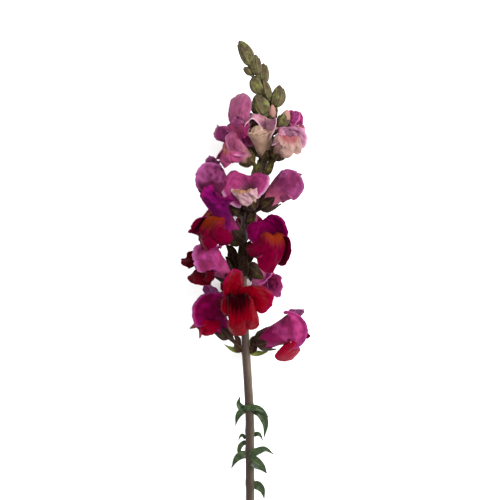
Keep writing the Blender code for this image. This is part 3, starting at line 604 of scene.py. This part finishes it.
class Flower:
    """One flower's place and the shape of its corolla."""

    def __init__(self, foot, base, turn, rise, size, upper, lower, notch, palate, ruffle, curl, sepals,
                 seed, palette, roll=0, hood=USUAL_HOOD, bracts=((1, 11),)):
        self.foot, self.base, self.size = foot, over_stem(base), size
        self.lobes = {True: upper, False: lower}
        self.notch = {True: notch[0], False: notch[1]}
        self.hood, self.palate, self.ruffle, self.curl = hood, palate, ruffle, curl
        self.sepals, self.bracts, self.seed, self.palette = sepals, bracts, seed, palette
        turn, rise, roll = (math.radians(angle) for angle in (turn, rise, roll))
        self.heading = Vector((math.sin(turn) * math.cos(rise), math.sin(rise),
                               math.cos(turn) * math.cos(rise)))
        level = (Vector((0, 1, 0)) - self.heading.y * self.heading).normalized()
        self.back = Matrix.Rotation(-roll, 3, self.heading) @ level
        self.side = self.back.cross(self.heading)

    def place(self, across, along, back):
        """Points given across, along the tube and towards its back, in full-size millimetres."""
        return (np.array(self.base) + self.size * (np.multiply.outer(across, np.array(self.side))
                + np.multiply.outer(along, np.array(self.heading))
                + np.multiply.outer(back, np.array(self.back))))

    def tube(self, around, t, stand=0.0):
        """The tube's wall: around it from its back, and t from its foot to the mouth."""
        in_foot = np.minimum(t * 3, 1.0)
        beyond = np.clip((t * 3 - 1) / 2, 0, 1)
        along = (TUBE_FOOT + stand) * (1 - np.cos(in_foot * math.pi / 2)) - stand
        along = along + beyond * (TUBE_LENGTH - TUBE_FOOT)
        swell = np.sin(in_foot * math.pi / 2)
        flare = beyond**1.3
        half_width = TUBE_RADIUS + (MOUTH_HALF_WIDTH - TUBE_RADIUS) * flare
        half_height = TUBE_RADIUS + (MOUTH_HALF_HEIGHT - TUBE_RADIUS) * flare
        belly = (0.5 - 0.5 * np.cos(around))**2 * POUCH_DEPTH * bump(beyond, 0.15, 0.3) * swell
        across = (half_width + stand) * swell * np.sin(around)
        back = ((half_height + stand) * swell + belly) * np.cos(around)
        return across, along, back

    def rim(self, u, upper):
        """The mouth's rim, from which a lip starts."""
        back = MOUTH_HALF_HEIGHT * np.cos(u * math.pi / 2) * (1 if upper else -1)
        return self.place(MOUTH_HALF_WIDTH * np.sin(u * math.pi / 2), TUBE_LENGTH + 0 * u, back)

    def edge(self, u, upper):
        """A lip's free edge: out round each lobe and back into the notches between them."""
        lobes = self.lobes[upper]
        span = 2 / len(lobes)
        centre = self.place(0, TUBE_LENGTH, 0)
        between = self.rim(np.linspace(-1, 1, len(lobes) + 1), upper)
        # The edge heads for places beyond the mouth's rim, and starts and ends just over it.
        beyond = 2 * between - centre + 3 * self.size * np.array(self.heading)
        beyond[[0, -1]] = between[[0, -1]] + 2.5 * self.size * np.array(self.heading)
        stations = [(-1.0, beyond[0])]
        for index, lobe in enumerate(lobes):
            middle = -1 + span * (index + 0.5)
            tip = np.array(over_stem(lobe[:3]))
            root = self.rim(np.array(middle), upper)
            if upper:
                root = root + max(0, self.hood - USUAL_HOOD) * self.size * np.array(self.heading)
            out = (tip - root) / np.linalg.norm(tip - root)
            along = beyond[index + 1] - beyond[index]
            along = along - along.dot(out) * out
            along = along / np.linalg.norm(along)
            cap = []
            for share, angle in LOBE_END:
                angle = math.radians(angle)
                cap.append((middle + share * span,
                            tip + lobe[3] / 2 * (along * math.sin(angle) - out * (1 - math.cos(angle)))))
            if index:
                halfway = (stations[-1][1] + cap[0][1]) / 2
                stations.append((middle - span / 2,
                                 halfway + (between[index] - halfway) * self.notch[upper]))
            stations += cap
        stations.append((1.0, beyond[-1]))
        return smooth(u, stations)

    def lip(self, u, v, upper):
        """A lip: u across it from -1 to 1, and v from the mouth to its edge."""
        start = self.rim(u, upper)
        end = self.edge(u, upper)
        frill = [turbulence.noise((13 * a, self.seed, 5)) + 0.5 * turbulence.noise((29 * a, self.seed, 9))
                 for a in u.tolist()]
        end = end + (end - start) * (0.05 * self.ruffle * np.array(frill))[:, None]
        inner = 1 - np.abs(u)**3
        if upper:
            # It runs on from the tube, and then turns back to its edge.
            bend = start + np.array(self.heading) * self.size * self.hood * (0.25 + 0.75 * inner)[:, None]
            t = v[:, None, None]
            points = (1 - t)**2 * start + 2 * t * (1 - t) * bend + t**2 * end
        else:
            # It climbs over the palate, a swelling of two humps, and then falls to its edge.
            humps = 0.62 + 0.38 * (bump(u, 0.34, 0.24) + bump(u, -0.34, 0.24))
            across = MOUTH_HALF_WIDTH * np.sin(u * math.pi / 2)
            low = -MOUTH_HALF_HEIGHT * np.cos(u * math.pi / 2)
            swell = self.palate * inner
            guides = [start]
            for beyond, height, breadth in PALATE:
                guides.append(self.place(breadth * across, TUBE_LENGTH + beyond * (0.3 + 0.7 * swell),
                                         low + height * swell * (humps if height > 0 else 1)))
            points = smooth(v, list(zip(PALATE_PLACES, guides + [end])))
        arch = np.multiply.outer(np.sin(math.pi * v), (1 - u**4))[..., None] * FULLNESS * self.size
        points = points + arch * u[:, None] * np.array(self.side)
        if upper:
            points = points + arch * np.cos(u * math.pi / 2)[:, None] * np.array(self.back)
        u, v = np.meshgrid(u, v)
        for _ in range(2):
            normal = np.cross(np.gradient(points, axis=1), np.gradient(points, axis=0))
            normal = normal / np.maximum(np.linalg.norm(normal, axis=2, keepdims=True), 1e-9)
            normal = normal * (1 if upper else -1)
            points = points + normal * 0.5 * self.relief(u, v)[..., None]
        return points

    def relief(self, u, v):
        """How far a lip stands out of its plain shape: waves at its edge, folds from the mouth, creases."""
        waves = np.sin(9.5 * u + self.seed) + 0.6 * v * np.sin(17 * u + 2.3 * self.seed)
        waves = waves + 0.35 * v**3 * np.sin(37 * u + 4 * self.seed)
        lift = self.ruffle * 0.8 * v**2 * waves
        lift = lift + 0.14 * np.sin(math.pi * v) * np.sin(41 * u + self.seed)
        lift = lift - self.curl * FOLD_BACK * ease(v, 0.78, 1.0)**2
        creases = [turbulence.noise((4.5 * a, 3.2 * b, 7 * self.seed))
                   + 0.35 * turbulence.noise((13 * a, 9 * b, 3 * self.seed)) for a, b in zip(u.flat, v.flat)]
        depth = CREASE_HEIGHT * ease(v, 0.1, 0.6) * (0.5 + 0.5 * self.ruffle)
        lift = lift + depth * np.reshape(creases, u.shape)
        return lift * (1 - u**4)


def corolla(number, flower, outside, inside):
    """The petals of one flower, grown together: a tube that opens into two lips."""
    u = np.linspace(-1, 1, LIP_COLUMNS + 1)
    v = np.linspace(0, 1, LIP_ROWS)
    meshes = []
    for upper in (True, False):
        palate = 0 if upper else np.multiply.outer(bump(v, 0.34, 0.2), bump(u, 0, 0.66))
        meshes.append(sheet(flower.lip(u, v, upper), reach=v[:, None], across=u, palate=palate,
                            lower=0.0 if upper else 1.0))
    around, t = np.meshgrid(np.arange(2 * LIP_COLUMNS) * math.pi / LIP_COLUMNS, np.linspace(0, 1, TUBE_ROWS))
    u = 1 - np.abs((around + math.pi / 2) % (2 * math.pi) - math.pi) / (math.pi / 2)
    meshes.append(sheet(flower.place(*flower.tube(around, t)), closed=True, reach=t - 1, across=u,
                        lower=ease(-np.cos(around), -0.35, 0.35), palate=0))
    return finish("petals_" + number, meshes, (outside, inside), thickness=PETAL_THICKNESS,
                  outward=-flower.heading)


def leaving(foot, end):
    """Where a stalk leaves the stem at height foot, its way out towards end, and the way up the stem."""
    centre = stem_centre(foot)
    up_stem = (stem_centre(foot + 1) - stem_centre(foot - 1)).normalized()
    out = end - centre
    out = (out - out.dot(up_stem) * up_stem).normalized()
    return centre + out * (stem_radius(foot) - STALK_SINK), out, up_stem


def pedicel(foot, end, heading, side, end_radius):
    """A pedicel that thickens where it joins the stem and the calyx."""
    start, out, up_stem = leaving(foot, end)
    reach = (end - start).length
    leave = start + (out + 0.6 * up_stem).normalized() * reach * 0.4
    arrive = end - heading * reach * 0.35
    rings = []
    for t in np.linspace(0, 1, PEDICEL_ROWS).tolist():
        place = (1 - t)**3 * start + 3 * t * (1 - t)**2 * leave + 3 * t**2 * (1 - t) * arrive + t**3 * end
        ahead = (1 - t)**2 * (leave - start) + 2 * t * (1 - t) * (arrive - leave) + t**2 * (end - arrive)
        girth = PEDICEL_RADIUS + 0.5 * bump(t, 0, 0.18) + (end_radius - PEDICEL_RADIUS) * bump(t, 1, 0.2)
        rings.append(turned_ring(place, ahead, side, girth, girth, PEDICEL_COLUMNS))
    rings = [[start] * PEDICEL_COLUMNS] + rings + [[end] * PEDICEL_COLUMNS]
    t = np.linspace(0, 0.2, len(rings))[:, None]
    return sheet(np.array(rings), closed=True, along=t, across=0.5)


def grid(columns, rows):
    """Each point's place across, from -1 to 1, and along, from 0 to 1, in a grid of points."""
    return np.meshgrid(np.linspace(-1, 1, columns), np.linspace(0, 1, rows))


def blade(rib, half_width, turn, outline):
    """A blade along a rib of points, keeled along its midrib, its edges gently waved."""
    w, s = grid(*BLADE_GRID)
    centres, headings = curve_through(rib, s[:, 0])
    points = np.zeros((*s.shape, 3))
    for row, (t, centre, heading) in enumerate(zip(s[:, 0], centres, headings)):
        heading = Vector(heading)
        side = heading.cross(Vector((0, 0, 1))).normalized()
        side = Matrix.Rotation(math.radians(turn[0] + (turn[1] - turn[0]) * t), 3, heading) @ side
        up = side.cross(heading)
        half = half_width * float(smooth(t, outline))
        for column, across in enumerate(w[0]):
            rise = 0.28 * half * across**2 - 0.1 * bump(across, 0, 0.12)
            rise += 0.14 * math.sin(17 * t + 2.5 * across) * across**2
            points[row, column] = Vector(centre) + side * half * across + up * rise
    return sheet(points, along=s, across=w)


def small_bract(foot, end, length, seed):
    """The little leaf under a pedicel or a bud, hugging the stem."""
    start, out, up_stem = leaving(foot, end)
    lean = 0.45 + 0.2 * math.sin(3 * seed)
    rib = [start - out * 0.4, start + (out * 0.8 + up_stem * 0.5).normalized() * length * 0.3,
           start + (out * lean + up_stem).normalized() * length * 0.68,
           start + (out * (lean + 0.1) + up_stem).normalized() * length]
    return blade(rib, length * 0.2, (0, 25 * math.sin(5 * seed)), BRACT_OUTLINE)


def calyx(number, flower, green):
    """A pedicel with its bract, and the five sepals that hold the foot of the corolla."""
    base = flower.base - flower.heading * flower.size * 0.6
    meshes = [pedicel(flower.foot, base, flower.heading, flower.side, 1.7 * flower.size)]
    for below, length in flower.bracts:
        meshes.append(small_bract(flower.foot - below, base, length, flower.seed + below))
    w, s = grid(*SEPAL_GRID)
    for k in range(SEPALS):
        middle = 2 * math.pi * k / SEPALS
        tip = flower.sepals + 0.07 * math.sin(3 * k + flower.seed)
        t = 0.02 + (tip - 0.02) * s
        # Each has a raised midrib and a bent tip, and every other one lies over its neighbours.
        breadth = 0.84 * (1 - s**2.8) * (0.72 + 0.28 * ease(s, 0, 0.3))
        around = middle + w * breadth
        stand = 0.55 + 0.4 * s + 0.35 * (k % 2) - 0.3 * np.abs(w) + 0.2 * bump(w, 0, 0.2)
        stand = stand + 0.7 * s**4 * (0.4 + math.sin(5 * k + flower.seed))
        points = flower.place(*flower.tube(around, t, stand / flower.size))
        meshes.append(sheet(points, along=0.25 + 0.75 * s, across=w))
    return finish("sepals_" + number, meshes, (green,), weld=SEPAL_WELD, thickness=SEPAL_THICKNESS)


def closed_bud(number, foot, base, tip, radius, green, bare=0):
    """A closed bud: an egg of folded petals in five broad sepals that overlap up it, with its bract."""
    base, tip = over_stem(base), over_stem(tip)
    heading = (tip - base).normalized()
    side = heading.cross(Vector((0, 0, 1))).normalized()
    up = side.cross(heading)
    length = (tip - base).length
    seed = float(number)
    meshes = [pedicel(foot, base, heading, side, radius * 0.5),
              small_bract(foot - 1.2, base, 2.2 * radius, seed)]

    def egg(around, s, stand):
        """Places around the bud's egg and along it, standing out of it."""
        girth = radius * np.sin(math.pi * np.clip(s, 0, 1)**0.85)**0.6 * (1.04 - 0.12 * s)
        girth = girth * (1 + 0.06 * np.sin(2 * around + seed)) + stand
        bow = 0.05 * length * np.sin(math.pi * s) * math.sin(2 * seed)
        return (np.array(base) + np.multiply.outer(s * length, np.array(heading))
                + np.multiply.outer(girth * np.cos(around) + bow, np.array(side))
                + np.multiply.outer(girth * np.sin(around), np.array(up)))

    columns, rows = BUD_GRID
    around, s = np.meshgrid(np.arange(columns) * 2 * math.pi / columns, np.linspace(0, 1, rows))
    points = egg(around, s, -0.2 * np.sin(math.pi * s))
    meshes.append(sheet(points, closed=True, along=0.6 + 0.4 * s, across=0.5, petal=1.0 if bare else 0.0))
    w, s = grid(*BUD_SEPAL_GRID)
    for k in range(SEPALS):
        middle = 2 * math.pi * k / SEPALS + 0.7 * seed
        reach = 0.97 - bare - 0.09 * ((k * 2 + int(seed)) % 4)
        breadth = 0.95 * np.sqrt(1 - s**4) * (0.8 + 0.2 * ease(s, 0, 0.25))
        stand = 0.12 + 0.3 * (k % 2) - 0.22 * np.abs(w) + 0.3 * bump(w, 0, 0.16) + 0.3 * bump(w, 0, 0.5) * s
        stand = stand + 0.08 * np.sin(9 * w + 4 * s + seed)
        points = egg(middle + w * breadth, 0.01 + reach * s, stand)
        meshes.append(sheet(points, along=0.25 + 0.75 * s, across=w))
    return finish("closed_bud_" + number, meshes, (green,), weld=SEPAL_WELD, thickness=BUD_SEPAL_THICKNESS)


def leaf(name, rib, half_width, turn, green, leaflets=()):
    """A lance-shaped leaf on the short stalk that joins it to the stem, and the leaflets beside it."""
    blades = []
    for line, half in ((rib, half_width), *leaflets):
        points = [over_stem(point) for point in line]
        points.insert(0, leaving(line[0][1], points[0])[0])
        blades.append(blade(points, half, turn, LEAF_OUTLINE))
    return finish(name.replace("_", "_blade_"), blades, (green,), thickness=LEAF_THICKNESS)


def stem(skin):
    """The stem, shallowly ridged, swollen at its nodes, with a plain cut at its foot."""
    heights = np.linspace(STEM_LINE[0][0], STEM_LINE[-1][0], STEM_ROWS)
    around = np.arange(STEM_COLUMNS) * 2 * math.pi / STEM_COLUMNS
    nodes = {*LEAF_NODES, *(place["foot"] for place in FLOWERS.values())}
    centres = [stem_centre(height) for height in heights]
    rings = []
    for height, centre in zip(heights, centres):
        ahead = stem_centre(height + 0.5) - stem_centre(height - 0.5)
        swelling = sum(float(bump(height, node, 1.8)) for node in nodes) ** 0.5
        radius = stem_radius(height) + NODE_SWELLING * swelling
        ridges = 1 + 0.035 * np.cos(5 * around + 0.012 * height) + 0.012 * np.cos(13 * around)
        circle = turned_ring(centre, ahead, Vector((1, 0, 0)), 1, 1, STEM_COLUMNS)
        rings.append([centre + (point - centre) * radius * ridge
                      for point, ridge in zip(circle, ridges.tolist())])
    rings = [[centres[0]] * STEM_COLUMNS] + rings + [[centres[-1]] * STEM_COLUMNS]
    share = np.concatenate([[0], np.linspace(0, 1, STEM_ROWS), [1]])[:, None]
    # around is 1 on the stem's right side and 0 on its left: the painted shade of its skin follows it.
    mesh = sheet(np.array(rings), closed=True, along=share, around=(0.5 + 0.5 * np.cos(around))[None, :])
    return finish("ribbed_stem", [mesh], (skin,))


def build():
    """Every piece of the flower, each in place of its plain solid."""
    skins = {palette: [petal(f"petal_{palette}_{side}", palette, side) for side in ("out", "in")]
             for palette in PALETTES}
    # The lower flowers' sepals: a near-black brown, partly their own dark colour and partly painted shade,
    # as they sit deep between the flowers.
    sepal = downy_green("sepal_down", ((0, "302016"), (0.25, "28160f"), (0.6, "24120d"), (1, "1f0c09")),
                        "402b22", "170806", "383210")
    young_sepal = downy_green("young_sepal_down", ((0, "403822"), (0.25, "3b321d"), (0.6, "342817"),
                                                   (1, "2f1b16")), "5d4f38", "24140d", "515120")
    bud_green = downy_green("bud_down", ((0, "433e29"), (0.25, "4c4930"), (0.6, "48432b"), (1, "3e3527")),
                            "6e6248", "33271b", "606533")
    green = leaf_green("leaf_blade", "0d1906", "1c2f12", "36461a", "4a5430")
    olive = leaf_green("bract_blade", "2c2810", "4e5412", "6a7418", "868e34")
    put(stem(stem_bark()), "stem")
    for name, place in LEAVES.items():
        put(leaf(name, green=olive if name.startswith("bract") else green, **place), name)
    for number, place in BUDS.items():
        put(closed_bud(number, green=bud_green, **place), "bud_" + number)
    for number, place in FLOWERS.items():
        flower = Flower(**place)
        petals = corolla(number, flower, *skins[flower.palette])
        put(petals, "corolla_" + number)
        sepals = calyx(number, flower, young_sepal if flower.foot > YOUNG_HEIGHT else sepal)
        put(sepals, "calyx_" + number)


def studio():
    """A plain pale floor, soft light from the right and above, and the camera straight over the flower."""
    scene = bpy.context.scene
    mesh = bmesh.new()
    bmesh.ops.create_grid(mesh, x_segments=2, y_segments=2, size=FLOOR_HALF_WIDTH)
    data = bpy.data.meshes.new("pale_floor")
    mesh.to_mesh(data)
    mesh.free()
    data.materials.append(paper_white())
    floor = bpy.data.objects.new("pale_floor", data)
    floor.location.z = -FLOOR_DROP
    scene.collection.objects.link(floor)
    scene.world = bpy.data.worlds.new("studio")
    scene.world.use_nodes = True
    sky = scene.world.node_tree.nodes["Background"].inputs
    sky["Color"].default_value = (1, 1, 1, 1)
    sky["Strength"].default_value = SKY_STRENGTH
    for name, place, size, power in LAMPS:
        lamp = bpy.data.lights.new(name, "AREA")
        lamp.shape = "DISK"
        lamp.size = size
        lamp.energy = power
        made = bpy.data.objects.new(name, lamp)
        made.location = place
        made.rotation_euler = (-Vector(place)).to_track_quat("-Z", "Y").to_euler()
        scene.collection.objects.link(made)
    lens = bpy.data.cameras.new("camera")
    lens.lens = LENS
    lens.sensor_width = SENSOR_WIDTH
    lens.clip_end = 10
    camera = bpy.data.objects.new("camera", lens)
    camera.location = VIEW_MIDDLE + Vector((0, 0, VIEW_WIDTH * LENS / SENSOR_WIDTH))
    scene.collection.objects.link(camera)
    scene.camera = camera
    scene.view_settings.view_transform = "Standard"


build()
studio()
